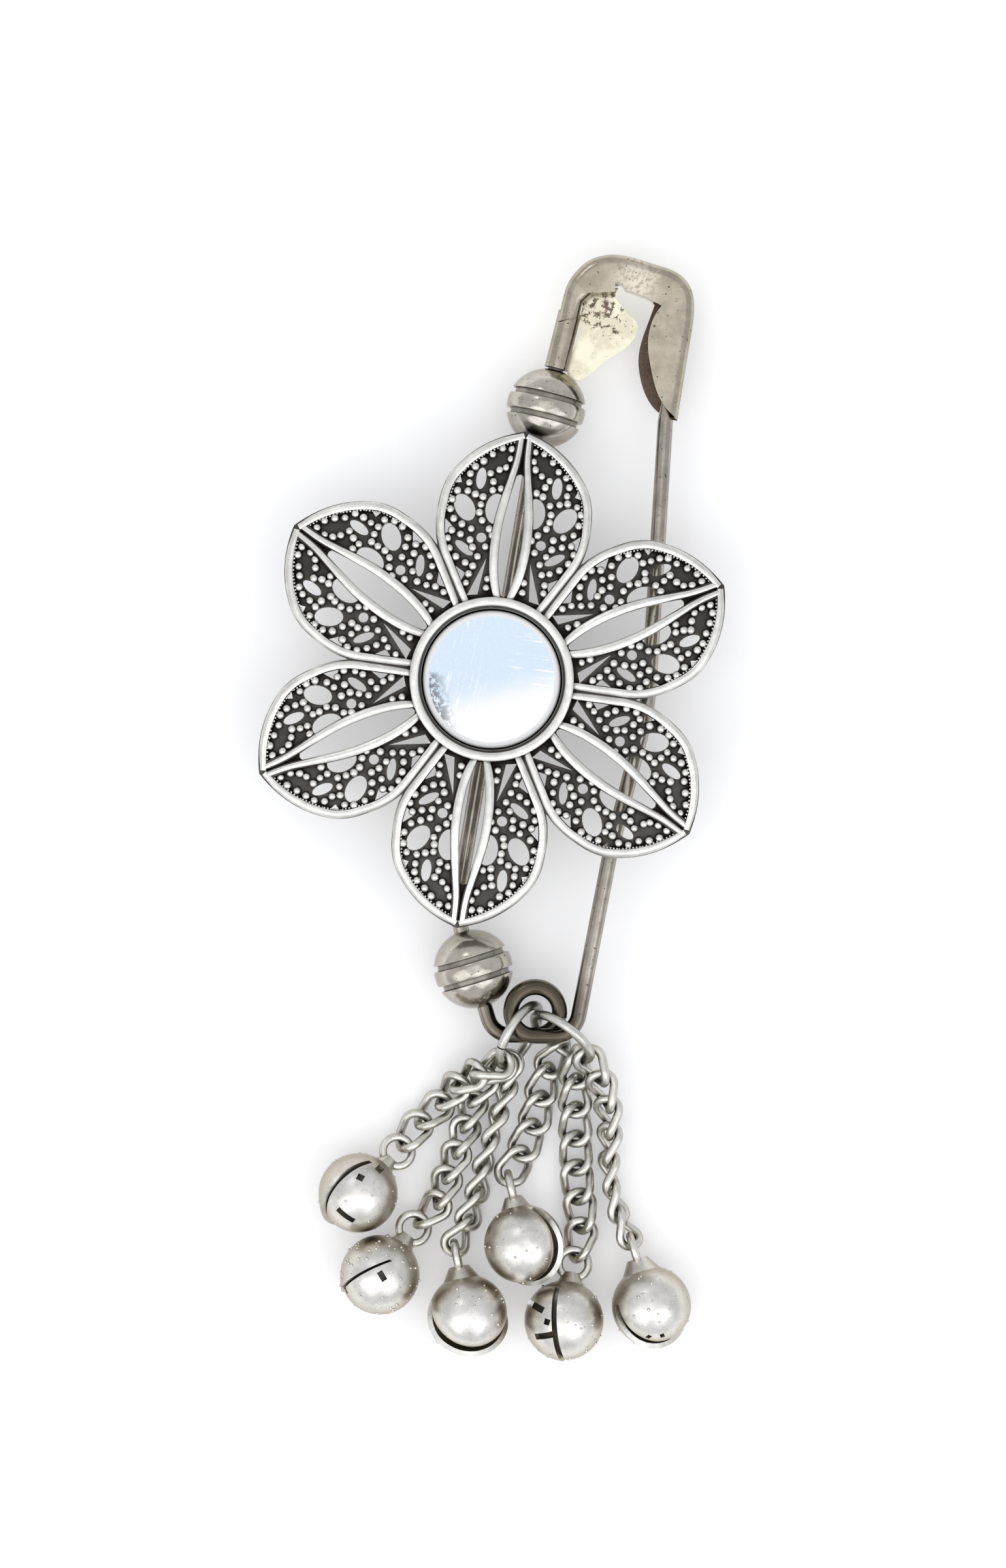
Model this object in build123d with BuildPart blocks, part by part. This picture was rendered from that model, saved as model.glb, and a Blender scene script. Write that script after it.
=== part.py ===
"""Saree pin: a large safety pin that carries a pierced flower with a mirror, two beads and six belled chains.

It lies face up as it would on a table. Millimetres, +Z up. The origin is on the surface it lies on, at the
middle of its length and width. +Y points to the cap and +X to the side of the sprung leg.
"""
import math
import os

from build123d import *

os.makedirs("parts", exist_ok=True)

# Wire of the pin
WIRE_D = 1.55
COIL_D = 4.9              # across the middle of a turn
TURN_GAP = 0.16
FIT = 0.08                # round the wire, in whatever it passes through
TIP_D = 0.25
TIP_TAPER = 6.0           # length of the sharpened end
TURN_SWEEP = 282.0        # how far each turn of the coil goes round

# Coil's axis, from the origin
COIL_X = 4.37
COIL_Y = -20.57

# Beads
BEAD_D = 8.0
GROOVE_W = 0.6
BAND_W = 2.1              # between the middles of the two grooves
BEAD_PLAY = 0.1

# Route of the fixed arm: three leans from +Y, and the lengths between its bends
LOW_LEAN = -16.8          # through the bottom bead
MID_LEAN = 9.66           # under the flower
TOP_LEAN = 14.0           # through the top bead and the cap
CORNER_ASIDE = 4.23       # corner by the coil, left of the coil's axis
CORNER_R = 2.3
CORNER_TO_BEAD = 2.98     # from that corner to the bottom bead's end
BEAD_TO_BEND = 2.1        # from a bead's end to the bend beyond it
BEND_R = 6.0
TIP_OVER_LOW_BEND = 1.55  # how far the lowest petal reaches past the lower bend
TIP_OVER_TOP_BEND = 3.15  # the same for the top petal and the upper bend
BEAD_TO_ARM_END = 5.95    # from the top bead's end to the arm's end in the cap

# Sprung leg
ARM_SPACING = 10.0        # across the cap, from the fixed arm's end to the leg
LEG_DROP = 5.05           # from the fixed arm's end down to the leg's tip
LEG_BEND_R = 2.6          # where the leg turns into the coil
BOW_R = 25.0

# Flower
PETALS = 6
PETAL_TURN = 82.0         # direction of the first petal
PETAL_REACH = 25.1        # from the flower's middle to a petal's tip
PETAL_HALF_W = 7.7
PLATE_T = 0.9
RELIEF = 0.5              # height of rims and ribs above the plate
RIM_W = 0.78
PETAL_CLEAR = 0.18        # between the top bead and the petal over it
ARCH = 1.75               # height of a petal's crest above its tip
CREST_R = 13.0            # the crest's distance from the flower's middle
CUP_D = 16.4
CUP_LIP_W = 1.15
CUP_LIP_RISE = 0.75       # cup's lip above the crest of the plate
CUP_FLOOR_T = 1.1
FLOWER_ASIDE = 0.32       # flower's middle, left of the arm
SADDLE_L = 9.0
SADDLE_WALL = 0.7
SADDLE_WEB_W = 2.4

# Mirror
MIRROR_T = 1.8
MIRROR_DEPTH = 0.9        # its face below the cup's lip
MIRROR_PLAY = 0.15
SEAT_GAP = 0.05

# Cap, folded from sheet
SHEET_T = 0.4
CAP_H = 16.65
CAP_PLAY = 0.12           # between the leg and the sheet
CAP_EDGE_R = 1.0          # fold round the outside
CAP_ARM_R = 0.9           # inner edge of the short arm over the sleeve
CAP_RISE = 0.15           # middle of the cap above the fixed arm
SLEEVE_GAP = 0.12         # between the sleeve and the top bead

# Jump rings
RING_WIRE_D = 0.88
RING_D = 6.86             # across the middle of the wire
RING_OPEN = 3.0           # degrees of its sawn gap

# Chains of twisted oval links
LINK_WIRE_D = 0.76
LINK_L = 4.0              # between the middles of its two ends
LINK_CORNER = 1.28        # half the width, and half the twist's height, at the corners of the loop
LINK_BEND_R = 1.15
LINK_AIM = 0.9            # a link points along this length of the route, before and after its middle
HOOK = 1.02               # from the middle of a jump ring's wire to the first link's middle
LAST_HOOK = 1.12          # from the last link's middle to the wire of a bell's loop

# Bells
BELL_D = 8.0
BELL_WALL = 0.6
BELL_LOOP_D = 3.0         # across the middle of its wire
BELL_LOOP_WIRE_D = 0.74
BELL_LOOP_OUT = 5.9       # from the bell's middle to its loop's middle
BELL_NECK_D = 1.7
MOUTH_W = 0.5
MOUTH_PAST = 0.6          # how far the mouth runs past the bell's middle, towards the neck
MOUTH_HOLE_D = 0.9
CROSS_L = 3.4
CROSS_DEEP = 0.9

# Half of a petal's edge: along the petal as a share of its reach, across as a share of its half width
PETAL_EDGE = [
    (0.640, 1.000),
    (0.765, 0.940),
    (0.838, 0.800),
    (0.910, 0.575),
    (0.962, 0.315),
    (1.000, 0.000),
]
SEAM_END = 0.578          # where two petals part, as a share of the reach

# Line of a rib, in the same shares
PETAL_RIB = [
    (0.319, 0.071),
    (0.398, 0.156),
    (0.558, 0.205),
    (0.717, 0.160),
    (0.837, 0.086),
    (0.972, 0.068),
]

# Oval openings of half a petal: along, across, half length, half width (of the petal's half width), turn
OVAL_HOLES = [
    (0.789, 0.497, 0.143, 0.065, 0),
    (0.665, 0.658, 0.188, 0.123, 35),
    (0.675, 0.253, 0.201, 0.136, 0),
    (0.554, 0.390, 0.065, 0.065, 0),
    (0.504, 0.594, 0.143, 0.056, 57),
]

# Three-cornered openings by the rim: along and across of each corner
CORNER_HOLES = [
    ((0.805, 0.790), (0.763, 0.740), (0.752, 0.900)),
    ((0.614, 0.896), (0.578, 0.753), (0.542, 0.896)),
    ((0.438, 0.722), (0.406, 0.532), (0.355, 0.597)),
    ((0.478, 0.286), (0.327, 0.338), (0.319, 0.474)),
]
LENS = (0.578, 0.247, 0.195)   # gap between the ribs: middle and half length of the reach, half width

# Cap's edges from the arm's end: across as a share of the arm spacing, along as a share of the cap's height
CAP_CROWN = [
    (-0.130, -0.060),
    (-0.079, 0.063),
    (-0.020, 0.176),
    (0.066, 0.249),
    (0.191, 0.312),
    (0.428, 0.348),
    (0.862, 0.288),
    (1.100, 0.231),
    (1.220, 0.144),
    (1.250, -0.018),
    (1.205, -0.204),
    (1.140, -0.444),
    (1.085, -0.652),
]
CAP_FRONT_EDGE = [
    (1.085, -0.652),
    (0.901, -0.526),
    (0.810, -0.336),
    (0.783, -0.202),
    (0.806, -0.098),
    (0.921, 0.032),
]
CAP_BACK_EDGE = [
    (1.085, -0.652),
    (0.830, -0.559),
    (0.710, -0.380),
    (0.697, -0.261),
    (0.776, -0.083),
    (0.860, 0.054),
]
CAP_BAR = [
    (0.763, 0.087),
    (0.559, 0.130),
    (0.526, 0.166),
    (0.454, 0.166),
    (0.454, 0.117),
    (0.230, 0.111),
    (0.125, 0.054),
    (0.090, -0.036),
]
CAP_TONGUE = [
    (0.160, 0.144),
    (0.490, 0.156),
    (0.454, 0.098),
    (0.592, -0.008),
    (0.684, -0.102),
    (0.618, -0.178),
    (0.526, -0.227),
    (0.322, -0.308),
    (0.039, -0.403),
    (-0.007, -0.380),
    (0.039, -0.219),
    (0.105, -0.034),
]

# Bow of the leg: across from the coil's axis as a share of the tip's, along from the coil's foot to the tip
LEG_BOW = [
    (0.294, 0.000),
    (0.559, 0.272),
    (0.838, 0.4855),
]

# Jump rings: place in the coil's eye from the coil's axis, heading, lean, height of its middle, place of its cut
RINGS = {
    "jump_ring_left": {"eye": (0.07, 0.53), "heading": -119.1, "lean": -21.0, "z": 4.16, "cut": 60.0},
    "jump_ring_right": {"eye": (0.03, -0.51), "heading": -38.0, "lean": 20.9, "z": 4.75, "cut": 150.0},
}

# Bells, from the coil's axis: middle, heading and dip of the neck, turn of the mouth, and if its loop stands up
BELLS = {
    "bell_1": {"middle": (-17.87, -18.38), "heading": 45.6, "dip": 17.8, "mouth": 20.0, "upright": False},
    "bell_2": {"middle": (-15.67, -26.64), "heading": 53.2, "dip": 18.4, "mouth": 0.0, "upright": False},
    "bell_3": {"middle": (-6.77, -30.82), "heading": 101.2, "dip": 11.1, "mouth": 80.0, "upright": True},
    "bell_4": {"middle": (-1.15, -23.62), "heading": 102.8, "dip": 13.1, "mouth": -75.0, "upright": True},
    "bell_5": {"middle": (2.90, -31.32), "heading": 79.5, "dip": 19.6, "mouth": 13.0, "upright": False},
    "bell_6": {"middle": (11.74, -30.00), "heading": 107.2, "dip": 10.3, "mouth": 80.0, "upright": True},
}

# Chains: ring, place on it, links, roll of the first and last link, and chosen points of the route from the coil
CHAINS = {
    "chain_1": {
        "ring": "jump_ring_left",
        "place": 12.9,
        "links": 5,
        "roll": (48.0, 22.7),
        "points": [(-5.88, -6.29, 4.53), (-8.82, -8.61, 2.00), (-10.33, -10.32, 1.56), (-11.64, -11.50, 1.75)],
    },
    "chain_2": {
        "ring": "jump_ring_left",
        "place": -8.8,
        "links": 7,
        "roll": (48.1, 39.4),
        "points": [
            (-5.70, -8.14, 2.11),
            (-6.81, -11.00, 1.78),
            (-7.46, -13.21, 2.39),
            (-8.84, -16.76, 2.30),
            (-9.64, -19.06, 2.17),
        ],
    },
    "chain_3": {
        "ring": "jump_ring_left",
        "place": -32.1,
        "links": 7,
        "roll": (-111.2, -54.4),
        "points": [
            (-3.30, -9.26, 1.79),
            (-4.08, -11.81, 2.05),
            (-4.86, -14.32, 1.93),
            (-5.73, -17.90, 1.86),
            (-6.64, -20.73, 2.12),
        ],
    },
    "chain_4": {
        "ring": "jump_ring_right",
        "place": -76.5,
        "links": 5,
        "roll": (-32.3, -6.3),
        "points": [(0.91, -7.31, 1.48), (0.12, -10.70, 1.42), (-0.97, -13.66, 1.48), (-2.32, -16.25, 2.00)],
    },
    "chain_5": {
        "ring": "jump_ring_right",
        "place": -44.1,
        "links": 7,
        "roll": (-34.8, 27.1),
        "points": [
            (4.08, -7.36, 2.02),
            (4.07, -11.07, 1.52),
            (4.13, -14.15, 1.33),
            (4.42, -18.86, 1.51),
            (4.67, -22.24, 1.54),
        ],
    },
    "chain_6": {
        "ring": "jump_ring_right",
        "place": -6.4,
        "links": 7,
        "roll": (37.5, 107.2),
        "points": [
            (6.83, -7.72, 3.48),
            (7.48, -10.97, 2.49),
            (7.56, -14.34, 1.92),
            (7.60, -16.49, 1.86),
            (8.65, -20.98, 2.21),
        ],
    },
}


# Heights that follow from the sizes above
ARM_Z = BEAD_D / 2
LEG_Z = ARM_Z + WIRE_D + TURN_GAP
CAP_Z = ARM_Z + CAP_RISE


def from_point(point, lean, length):
    """The point a length away, in a direction that leans from +Y towards +X."""
    turn = math.radians(lean)
    return (point[0] + length * math.sin(turn), point[1] + length * math.cos(turn))


# Points of the fixed arm, seen from above
coil = (COIL_X, COIL_Y)
coil_foot = (COIL_X, COIL_Y - COIL_D / 2)
low_corner = (COIL_X - CORNER_ASIDE, COIL_Y - COIL_D / 2)
low_bead = from_point(low_corner, LOW_LEAN, CORNER_TO_BEAD + BEAD_D / 2)
low_bend = from_point(low_bead, LOW_LEAN, BEAD_D / 2 + BEAD_TO_BEND)
under_flower = from_point(low_bend, MID_LEAN, PETAL_REACH - TIP_OVER_LOW_BEND)
top_bend = from_point(under_flower, MID_LEAN, PETAL_REACH - TIP_OVER_TOP_BEND)
top_bead = from_point(top_bend, TOP_LEAN, BEAD_D / 2 + BEAD_TO_BEND)
arm_end = from_point(top_bead, TOP_LEAN, BEAD_D / 2 + BEAD_TO_ARM_END)
flower_mid = from_point(under_flower, MID_LEAN - 90, FLOWER_ASIDE)
leg_tip = (arm_end[0] + ARM_SPACING, arm_end[1] - LEG_DROP)


def lean_plane(point, z, lean):
    """A plane across the fixed arm at one of its points: its normal follows the arm."""
    turn = math.radians(lean)
    return Plane(origin=(point[0], point[1], z), z_dir=(math.sin(turn), math.cos(turn), 0))


# Fixed arm with the lower turn of the coil
with BuildPart() as back_wire:
    with BuildLine(Plane.XY.offset(ARM_Z)) as arm_line:
        FilletPolyline(
            arm_end,
            top_bend,
            low_bend,
            low_corner,
            coil_foot,
            radius=[BEND_R, BEND_R, CORNER_R],
        )
        CenterArc(coil, COIL_D / 2, -90, TURN_SWEEP)
    arm_path = arm_line.wires()[0]
    with BuildSketch(lean_plane(arm_end, ARM_Z, TOP_LEAN)):
        Circle(WIRE_D / 2)
    sweep(path=arm_path)
back_wire.part.label = "back_wire"

# Sprung leg with the upper turn of the coil. Its plane falls from the coil to the middle of the cap.
leg_x = leg_tip[0] - COIL_X
leg_y = leg_tip[1] - COIL_Y
leg_fall = math.atan2(LEG_Z - CAP_Z, leg_y)
leg_rise = leg_y / math.cos(leg_fall) + COIL_D / 2
leg_plane = Plane(
    origin=(COIL_X, COIL_Y, LEG_Z),
    x_dir=(1, 0, 0),
    z_dir=(0, math.sin(leg_fall), math.cos(leg_fall)),
)
bow = [(across * leg_x, share * leg_rise - COIL_D / 2) for across, share in LEG_BOW]
with BuildPart() as pin_leg:
    with BuildLine(leg_plane) as leg_line:
        tip_line = Line((leg_x, leg_rise - COIL_D / 2), bow[-1], mode=Mode.PRIVATE)
        taper_start = tip_line @ (TIP_TAPER / tip_line.length)
        taper_local = leg_plane.to_local_coords(taper_start)
        FilletPolyline(
            (taper_local.X, taper_local.Y),
            bow[2],
            bow[1],
            bow[0],
            (0, -COIL_D / 2),
            radius=[BOW_R, BOW_R, LEG_BEND_R],
        )
        CenterArc((0, 0), COIL_D / 2, -90, -TURN_SWEEP)
    leg_path = leg_line.wires()[0]
    tip_plane = Plane(origin=taper_start, z_dir=tip_line % 0)
    with BuildSketch(tip_plane):
        Circle(WIRE_D / 2)
    sweep(path=leg_path)
    with BuildSketch(tip_plane):
        Circle(WIRE_D / 2)
    with BuildSketch(tip_plane.offset(-TIP_TAPER)):
        Circle(TIP_D / 2)
    loft()
pin_leg.part.label = "pin_leg"


def make_bead(label, point, lean):
    """A round bead with a bore for the arm and two turned grooves beside its middle band."""
    with BuildPart(lean_plane(point, ARM_Z, lean)) as bead:
        Sphere(BEAD_D / 2)
        groove_r = math.sqrt((BEAD_D / 2) ** 2 - (BAND_W / 2) ** 2)
        with Locations((0, 0, BAND_W / 2), (0, 0, -BAND_W / 2)):
            Torus(groove_r, GROOVE_W / 2, mode=Mode.SUBTRACT)
        Cylinder(WIRE_D / 2 + BEAD_PLAY, BEAD_D, mode=Mode.SUBTRACT)
    bead.part.label = label
    return bead


bead_top = make_bead("bead_top", top_bead, TOP_LEAN)
bead_bottom = make_bead("bead_bottom", low_bead, LOW_LEAN)

# Heights of the flower. The first petal's tip lies over the top bead.
first = math.radians(PETAL_TURN)
first_tip = (
    flower_mid[0] + PETAL_REACH * math.cos(first),
    flower_mid[1] + PETAL_REACH * math.sin(first),
)
tip_to_bead = math.dist(first_tip, top_bead)
bead_under_tip = math.sqrt(max(0.0, (BEAD_D / 2) ** 2 - tip_to_bead ** 2))
crest_z = ARM_Z + bead_under_tip + PETAL_CLEAR + ARCH
lip_z = crest_z + PLATE_T + CUP_LIP_RISE
mirror_z = lip_z - MIRROR_DEPTH - MIRROR_T
floor_z = mirror_z - SEAT_GAP
cup_base_z = floor_z - CUP_FLOOR_T
hub_r = CUP_D / 2 - CUP_LIP_W / 2


def dome_shell(low, high):
    """A thin spherical shell under and over one petal, between two heights above its underside."""
    arch_r = ((PETAL_REACH - CREST_R) ** 2 + ARCH ** 2) / (2 * ARCH)
    with BuildPart(Plane(origin=(CREST_R, 0, -arch_r))) as shell:
        Sphere(arch_r + high, rotation=(90, 0, 0))
        Sphere(arch_r + low, rotation=(90, 0, 0), mode=Mode.SUBTRACT)
    return shell.part


def petal_point(along, across):
    """A place on a petal from its shares."""
    return (along * PETAL_REACH, across * PETAL_HALF_W)


def beside(curve, share, width):
    """A place beside a flat curve, at a share of its length and a width to its left."""
    direction = curve % share
    return curve @ share + Vector(-direction.Y, direction.X) * width


# One petal, pointing along +X
half_turn = math.radians(180 / PETALS)
hub_corner = (hub_r * math.cos(half_turn), hub_r * math.sin(half_turn))
seam_r = SEAM_END * PETAL_REACH
seam_corner = (seam_r * math.cos(half_turn), seam_r * math.sin(half_turn))
with BuildSketch() as petal_face:
    with BuildLine():
        Line(hub_corner, seam_corner)
        outer_edge = Spline(seam_corner, *[petal_point(*row) for row in PETAL_EDGE])
        mirror(about=Plane.XZ)
        ThreePointArc(hub_corner, (hub_r, 0), (hub_corner[0], -hub_corner[1]))
    make_face()
with BuildSketch() as recess:
    inner_edge = [beside(outer_edge, share, -RIM_W) for share in (0, 0.25, 0.5, 0.75, 0.9)]
    inner_hub = (hub_corner[0] + RIM_W * math.sin(half_turn), hub_corner[1] - RIM_W * math.cos(half_turn))
    with BuildLine():
        Line(inner_hub, inner_edge[0])
        Spline(*inner_edge, (PETAL_REACH - RIM_W, 0))
        mirror(about=Plane.XZ)
        Line(inner_hub, (inner_hub[0], -inner_hub[1]))
    make_face()
    with BuildSketch(mode=Mode.SUBTRACT):
        rib_line = [petal_point(*row) for row in PETAL_RIB]
        with BuildLine():
            rib_outside = Spline(*[(x, y + RIM_W / 2) for x, y in rib_line])
            rib_inside = Spline(*[(x, y - RIM_W / 2) for x, y in rib_line])
            Line(rib_outside @ 0, rib_inside @ 0)
            Line(rib_outside @ 1, rib_inside @ 1)
        make_face()
        mirror(about=Plane.XZ)
with BuildSketch() as openings:
    for along, across, half_length, half_width, turn in OVAL_HOLES:
        with Locations(petal_point(along, across)):
            Ellipse(half_length * PETAL_HALF_W, half_width * PETAL_HALF_W, rotation=turn)
    for corners in CORNER_HOLES:
        Polygon(*[petal_point(*corner) for corner in corners], align=None)
    mirror(about=Plane.XZ)
    with Locations((LENS[0] * PETAL_REACH, 0)):
        Ellipse(LENS[1] * PETAL_REACH, LENS[2] * PETAL_HALF_W)
    add(recess.sketch, mode=Mode.INTERSECT)
band_h = ARCH + 3 * PLATE_T
with BuildPart() as petal:
    with BuildSketch(Plane.XY.offset(-band_h)):
        add(petal_face.sketch)
        add(openings.sketch, mode=Mode.SUBTRACT)
    extrude(amount=2 * band_h)
    add(dome_shell(0, PLATE_T + RELIEF), mode=Mode.INTERSECT)
with BuildPart() as hollow:
    with BuildSketch(Plane.XY.offset(-band_h)):
        add(recess.sketch)
    extrude(amount=2 * band_h)
    add(dome_shell(PLATE_T, PLATE_T + 3 * RELIEF), mode=Mode.INTERSECT)
with BuildPart() as relief_petal:
    add(petal.part)
    add(hollow.part, mode=Mode.SUBTRACT)

# The flower: petals, cup and the plain tube under it that rides on the arm
with BuildPart() as flower:
    with Locations((flower_mid[0], flower_mid[1], crest_z)):
        with PolarLocations(0, PETALS, start_angle=PETAL_TURN):
            add(relief_petal.part)
    with BuildSketch(Plane(origin=(flower_mid[0], flower_mid[1], 0), x_dir=(1, 0, 0), z_dir=(0, -1, 0))):
        with BuildLine():
            Polyline(
                (0, cup_base_z),
                (CUP_D / 2, cup_base_z),
                (CUP_D / 2, lip_z),
                (CUP_D / 2 - CUP_LIP_W, lip_z),
                (CUP_D / 2 - CUP_LIP_W, floor_z),
                (0, floor_z),
                close=True,
            )
        make_face()
    revolve(axis=Axis((flower_mid[0], flower_mid[1], 0), (0, 0, 1)))
    fillet(flower.edges().filter_by(GeomType.CIRCLE).group_by(Axis.Z)[-1], CUP_LIP_W / 4)
    saddle_r = WIRE_D / 2 + FIT + SADDLE_WALL
    with BuildSketch(Plane(
        origin=(under_flower[0], under_flower[1], ARM_Z),
        x_dir=(math.cos(math.radians(MID_LEAN)), -math.sin(math.radians(MID_LEAN)), 0),
        z_dir=(math.sin(math.radians(MID_LEAN)), math.cos(math.radians(MID_LEAN)), 0),
    )):
        Circle(saddle_r)
        web_h = cup_base_z + CUP_FLOOR_T / 2 - ARM_Z
        with Locations((0, -web_h / 2)):
            Rectangle(SADDLE_WEB_W, web_h)
        Circle(WIRE_D / 2 + FIT, mode=Mode.SUBTRACT)
    extrude(amount=SADDLE_L / 2, both=True)
flower.part.label = "flower"

# Mirror in the cup
with BuildPart(Plane(origin=(flower_mid[0], flower_mid[1], mirror_z))) as mirror_disc:
    Cylinder(
        CUP_D / 2 - CUP_LIP_W - MIRROR_PLAY,
        MIRROR_T,
        align=(Align.CENTER, Align.CENTER, Align.MIN),
    )
    chamfer(mirror_disc.edges().group_by(Axis.Z)[-1], MIRROR_PLAY)
mirror_disc.part.label = "mirror"


def cap_point(across, share):
    """A place on the cap from its shares."""
    return (arm_end[0] + across * ARM_SPACING, arm_end[1] + share * CAP_H)


# Cap: front and back sheets joined by the fold round its outside, a sleeve and a guard tongue
half_inside = WIRE_D / 2 + CAP_PLAY
cap_base = Plane.XY.offset(CAP_Z - half_inside - SHEET_T)
cap_h = 2 * (half_inside + SHEET_T)
with BuildPart() as cap:
    with BuildSketch(cap_base):
        with BuildLine():
            crown = Spline(*[cap_point(*row) for row in CAP_CROWN])
            front = Spline(*[cap_point(*row) for row in CAP_FRONT_EDGE])
            Polyline(front @ 1, *[cap_point(*row) for row in CAP_BAR], crown @ 0)
        make_face()
    extrude(amount=cap_h)
    fillet(cap.edges().filter_by(Plane.XY).sort_by(SortBy.LENGTH)[-2:], CAP_EDGE_R)
    arm_inside = Vector(*cap_point(0.11, 0.01), CAP_Z + half_inside + SHEET_T)
    face_edges = cap.edges().filter_by(GeomType.LINE).group_by(Axis.Z)[-1]
    fillet(face_edges.sort_by_distance(arm_inside)[:2], CAP_ARM_R)
    with BuildSketch(cap_base.offset(SHEET_T)):
        inside = [cap_point(*row) for row in CAP_CROWN[8:]]
        with BuildLine():
            wall = Spline(*[(x - SHEET_T, y) for x, y in inside])
            below = (wall @ 1).Y - SHEET_T
            Polyline(
                wall @ 1,
                ((wall @ 1).X - SHEET_T, below),
                (cap_point(0.5, 0)[0], below),
                cap_point(0.5, 0.02),
                cap_point(0.95, 0.075),
                wall @ 0,
            )
        make_face()
    extrude(amount=2 * half_inside, mode=Mode.SUBTRACT)
    with BuildSketch(cap_base):
        with BuildLine():
            back = Spline(*[cap_point(*row) for row in CAP_BACK_EDGE])
            rest = Spline(*[(x - 2 * SHEET_T, y) for x, y in inside[:-1]], back @ 0)
            Polyline(back @ 1, cap_point(0.9, 0.13), rest @ 0)
        make_face()
        with BuildLine():
            Spline(*[cap_point(*row) for row in CAP_TONGUE[3:]])
            Polyline(cap_point(*CAP_TONGUE[-1]), *[cap_point(*row) for row in CAP_TONGUE[:4]])
        make_face()
    extrude(amount=SHEET_T)
    sleeve_plane = lean_plane(arm_end, ARM_Z, TOP_LEAN)
    sleeve_l = BEAD_TO_ARM_END - SLEEVE_GAP
    with BuildSketch(sleeve_plane):
        Circle(WIRE_D / 2 + FIT + SHEET_T * 0.8)
    extrude(amount=-sleeve_l)
    with BuildSketch(sleeve_plane.offset(FIT)):
        Circle(WIRE_D / 2 + FIT)
    extrude(amount=-sleeve_l - 2 * FIT, mode=Mode.SUBTRACT)
cap.part.label = "cap"


def ring_axes(name):
    """Middle of a jump ring, and the two directions that it lies in: its heading, and up its lean."""
    ring = RINGS[name]
    heading = math.radians(ring["heading"])
    lean = math.radians(ring["lean"])
    ahead = Vector(math.cos(heading), math.sin(heading), 0)
    aside = Vector(-math.sin(heading), math.cos(heading), 0)
    up = aside * math.sin(lean) + Vector(0, 0, math.cos(lean))
    eye = Vector(COIL_X + ring["eye"][0], COIL_Y + ring["eye"][1], ring["z"])
    return eye + ahead * (RING_D / 2), ahead, up


def on_ring(name, degrees):
    """A place on the middle of a jump ring's wire."""
    middle, ahead, up = ring_axes(name)
    turn = math.radians(degrees)
    return middle + (ahead * math.cos(turn) + up * math.sin(turn)) * (RING_D / 2)


def make_ring(name):
    """An open round ring of wire with a sawn gap."""
    middle, ahead, up = ring_axes(name)
    start = on_ring(name, RINGS[name]["cut"] + RING_OPEN / 2)
    with BuildPart(Plane(origin=middle, x_dir=start - middle, z_dir=ahead.cross(up))) as ring:
        Torus(RING_D / 2, RING_WIRE_D / 2, major_angle=360 - RING_OPEN)
    ring.part.label = name
    return ring


def bell_axes(name):
    """Middle of a bell, the direction of its neck, and a level direction across the neck."""
    bell = BELLS[name]
    heading = math.radians(bell["heading"])
    dip = math.radians(bell["dip"])
    middle = Vector(COIL_X + bell["middle"][0], COIL_Y + bell["middle"][1], BELL_D / 2)
    level = math.cos(dip)
    neck = Vector(math.cos(heading) * level, math.sin(heading) * level, -math.sin(dip))
    across = Vector(-math.sin(heading), math.cos(heading), 0)
    return middle, neck, across


def make_bell(name):
    """A hollow cast ball with a long mouth, a short cross slot, and a loop on a neck."""
    middle, neck, across = bell_axes(name)
    loop_turn = (0, 90, 0) if BELLS[name]["upright"] else (90, 0, 0)
    mouth = Plane.XY.rotated((0, 0, BELLS[name]["mouth"]))
    with BuildPart() as casting:
        Sphere(BELL_D / 2)
        with Locations((0, 0, BELL_D / 2 - BELL_WALL)):
            Cylinder(
                BELL_NECK_D / 2,
                BELL_LOOP_OUT - BELL_LOOP_D / 2 - BELL_D / 2 + BELL_WALL,
                align=(Align.CENTER, Align.CENTER, Align.MIN),
            )
        with Locations((0, 0, BELL_LOOP_OUT)):
            Torus(BELL_LOOP_D / 2, BELL_LOOP_WIRE_D / 2, rotation=loop_turn)
        Sphere(BELL_D / 2 - BELL_WALL, mode=Mode.SUBTRACT)
        with BuildSketch(Plane(origin=(0, 0, 0), x_dir=(0, 0, 1), z_dir=mouth.x_dir)):
            with Locations((-BELL_D / 2, 0)):
                Rectangle(BELL_D + 2 * MOUTH_PAST, BELL_D)
        extrude(amount=MOUTH_W / 2, both=True, mode=Mode.SUBTRACT)
        with BuildSketch(Plane(origin=(0, 0, 0), x_dir=(0, 0, 1), z_dir=mouth.y_dir)):
            with Locations((MOUTH_PAST, 0)):
                Circle(MOUTH_HOLE_D / 2)
            with Locations((-BELL_D / 2, 0)):
                Rectangle(2 * CROSS_DEEP, CROSS_L)
        extrude(amount=BELL_D / 2, both=True, mode=Mode.SUBTRACT)
    with BuildPart() as bell:
        with Locations(Plane(origin=middle, x_dir=across, z_dir=neck).location):
            add(casting.part)
    bell.part.label = name
    return bell


jump_rings = [make_ring(name) for name in RINGS]
bells = [make_bell(name) for name in BELLS]

# One twisted link: half its loop, and the same half turned over
with BuildPart() as half_link:
    with BuildLine() as link_side:
        FilletPolyline(
            (-LINK_L / 2, 0, 0),
            (-LINK_L / 2, -LINK_CORNER, LINK_CORNER),
            (LINK_L / 2, -LINK_CORNER, -LINK_CORNER),
            (LINK_L / 2, 0, 0),
            radius=LINK_BEND_R,
        )
    link_path = link_side.wires()[0]
    with BuildSketch(Plane(origin=link_path @ 0, z_dir=link_path % 0)):
        Circle(LINK_WIRE_D / 2)
    sweep(path=link_path)
with BuildPart() as link:
    add(half_link.part)
    add(half_link.part, rotation=(180, 0, 0))


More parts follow.
